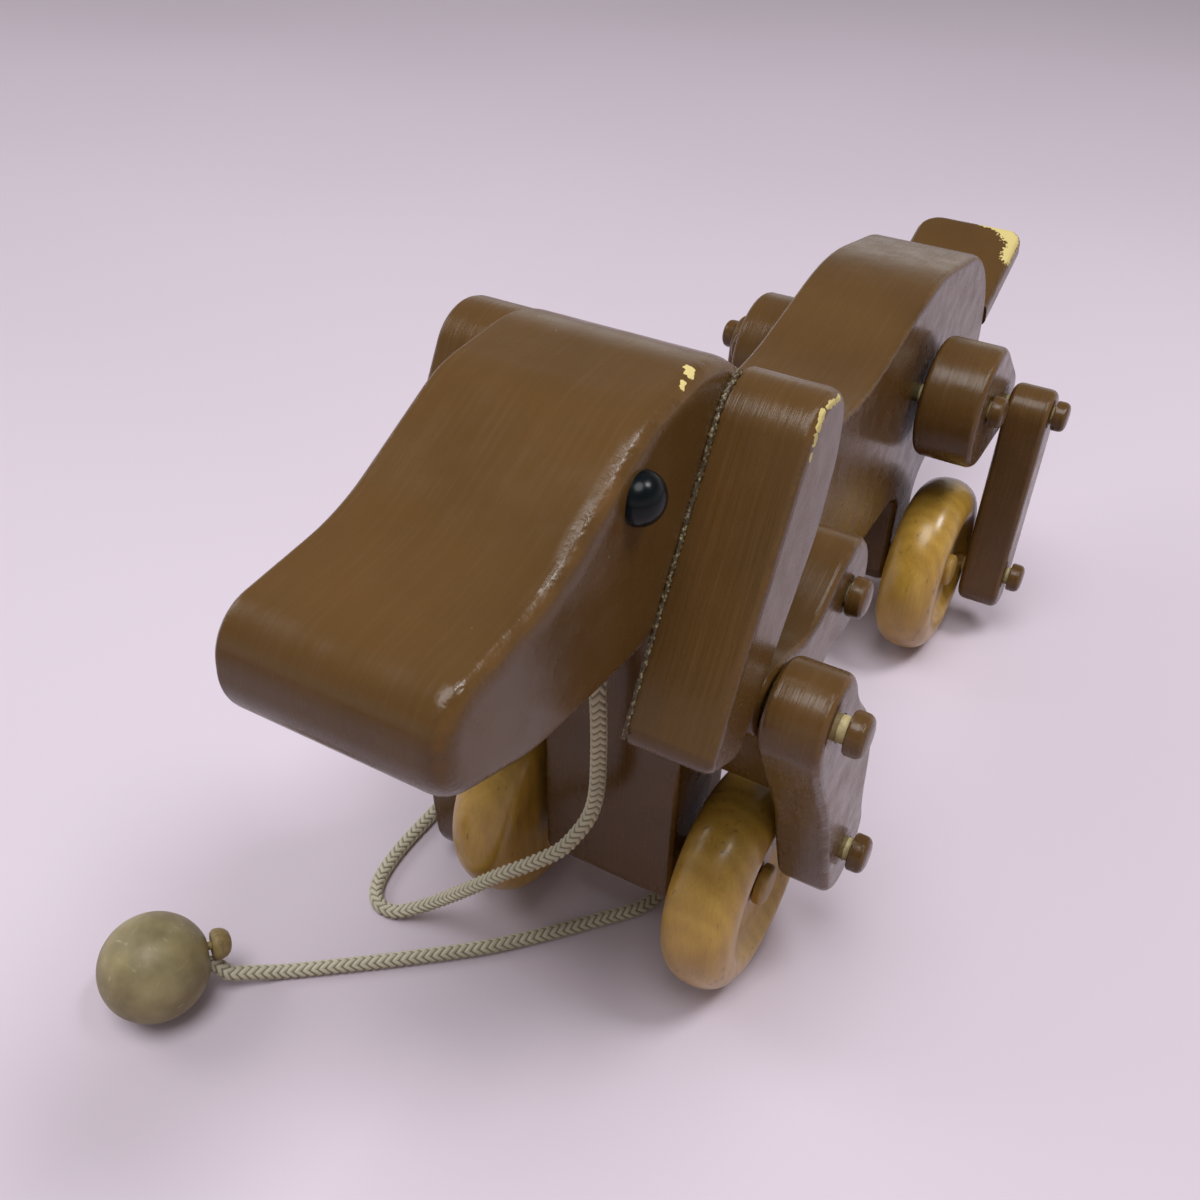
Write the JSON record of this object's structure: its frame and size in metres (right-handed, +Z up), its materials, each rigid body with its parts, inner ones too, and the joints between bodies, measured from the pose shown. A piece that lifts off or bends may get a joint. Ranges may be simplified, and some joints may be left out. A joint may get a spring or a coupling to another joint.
{
  "type": "dog pull toy",
  "caption": "Painted wooden dog on wheels with jointed legs that are walked by crank pegs on the wheels, and a braided pull cord that ends in a wooden ball.",
  "frame": {"origin": "on the floor, under the middle of the dog", "axes": "+X the way the dog faces, +Y its left side, +Z up"},
  "size_m": [0.3873, 0.1695, 0.1874],
  "materials": {
    "brown_enamel": "satin brown enamel brushed on hardwood",
    "varnished_hardwood": "clear varnish, glossy",
    "bare_hardwood": "bare, sanded",
    "worn_hardwood": "old varnish, worn dull",
    "black_gloss": "glossy",
    "braided_cotton": "braided"
  },
  "bodies": {
    "dog": {"body": "brown_enamel", "head": "brown_enamel", "ear_left": "brown_enamel", "ear_right": "brown_enamel", "eye_left": "black_gloss", "eye_right": "black_gloss", "tail": "brown_enamel", "head_dowel_front": "bare_hardwood", "head_dowel_rear": "bare_hardwood", "tail_dowel": "bare_hardwood", "axle_peg_front_left": "bare_hardwood", "axle_peg_front_right": "bare_hardwood", "axle_peg_rear_left": "bare_hardwood", "axle_peg_rear_right": "bare_hardwood", "hip_peg_front_left": "brown_enamel", "hip_peg_front_right": "brown_enamel", "hip_peg_rear_left": "brown_enamel", "hip_peg_rear_right": "brown_enamel", "pull_cord": "braided_cotton", "pull_ball": "worn_hardwood", "ball_plug": "bare_hardwood"},
    "front_left_wheel": {"wheel_front_left": "varnished_hardwood"},
    "front_right_wheel": {"wheel_front_right": "varnished_hardwood"},
    "rear_left_wheel": {"wheel_rear_left": "varnished_hardwood"},
    "rear_right_wheel": {"wheel_rear_right": "varnished_hardwood"},
    "front_left_upper": {"front_upper_leg_left": "brown_enamel", "knee_peg_front_left": "brown_enamel"},
    "front_right_upper": {"front_upper_leg_right": "brown_enamel", "knee_peg_front_right": "brown_enamel"},
    "rear_left_upper": {"rear_thigh_left": "brown_enamel", "knee_peg_rear_left": "brown_enamel"},
    "rear_right_upper": {"rear_thigh_right": "brown_enamel", "knee_peg_rear_right": "brown_enamel"},
    "front_left_shin": {"front_shin_left": "brown_enamel", "foot_peg_front_left": "brown_enamel"},
    "front_right_shin": {"front_shin_right": "brown_enamel", "foot_peg_front_right": "brown_enamel"},
    "rear_left_shin": {"rear_shin_left": "brown_enamel", "foot_peg_rear_left": "brown_enamel"},
    "rear_right_shin": {"rear_shin_right": "brown_enamel", "foot_peg_rear_right": "brown_enamel"}
  },
  "joints": [
    {"name": "front_left_wheel_spin", "type": "hinge", "parent": "dog", "child": "front_left_wheel", "pos_m": [0.0855, 0.0322, 0.03175], "axis": [0, 1, 0], "continuous": true},
    {"name": "front_right_wheel_spin", "type": "hinge", "parent": "dog", "child": "front_right_wheel", "pos_m": [0.0855, -0.0322, 0.03175], "axis": [0, 1, 0], "continuous": true},
    {"name": "rear_left_wheel_spin", "type": "hinge", "parent": "dog", "child": "rear_left_wheel", "pos_m": [-0.0799, 0.0322, 0.03175], "axis": [0, 1, 0], "continuous": true},
    {"name": "rear_right_wheel_spin", "type": "hinge", "parent": "dog", "child": "rear_right_wheel", "pos_m": [-0.0799, -0.0322, 0.03175], "axis": [0, 1, 0], "continuous": true},
    {"name": "front_left_hip", "type": "hinge", "parent": "dog", "child": "front_left_upper", "pos_m": [0.0578, 0.0321, 0.1109], "axis": [0, -1, 0], "range_deg": [-32, 5]},
    {"name": "front_right_hip", "type": "hinge", "parent": "dog", "child": "front_right_upper", "pos_m": [0.0578, -0.0321, 0.1109], "axis": [0, -1, 0], "range_deg": [-1, 35]},
    {"name": "rear_left_hip", "type": "hinge", "parent": "dog", "child": "rear_left_upper", "pos_m": [-0.073, 0.0324, 0.1], "axis": [0, 1, 0], "range_deg": [-30, 39]},
    {"name": "rear_right_hip", "type": "hinge", "parent": "dog", "child": "rear_right_upper", "pos_m": [-0.073, -0.0324, 0.1], "axis": [0, 1, 0], "range_deg": [-30, 39]},
    {"name": "front_left_knee", "type": "hinge", "parent": "front_left_upper", "child": "front_left_shin", "pos_m": [0.10467, 0.0499, 0.1125], "axis": [0, -1, 0], "range_deg": [-5, 32]},
    {"name": "front_right_knee", "type": "hinge", "parent": "front_right_upper", "child": "front_right_shin", "pos_m": [0.09894, -0.0499, 0.08837], "axis": [0, -1, 0], "range_deg": [-29.75, 0.85]},
    {"name": "rear_left_knee", "type": "hinge", "parent": "rear_left_upper", "child": "rear_left_shin", "pos_m": [-0.10168, 0.0498, 0.08962], "axis": [0, 1, 0], "range_deg": [-40.95, 31.5]},
    {"name": "rear_right_knee", "type": "hinge", "parent": "rear_right_upper", "child": "rear_right_shin", "pos_m": [-0.10168, -0.0498, 0.08962], "axis": [0, 1, 0], "range_deg": [-40.95, 31.5]}
  ],
  "couplings": [
    {"joint": "front_left_knee", "follows": "front_left_hip", "ratio": -1},
    {"joint": "front_right_knee", "follows": "front_right_hip", "ratio": -0.85},
    {"joint": "rear_left_knee", "follows": "rear_left_hip", "ratio": -1.05},
    {"joint": "rear_right_knee", "follows": "rear_right_hip", "ratio": -1.05}
  ]
}
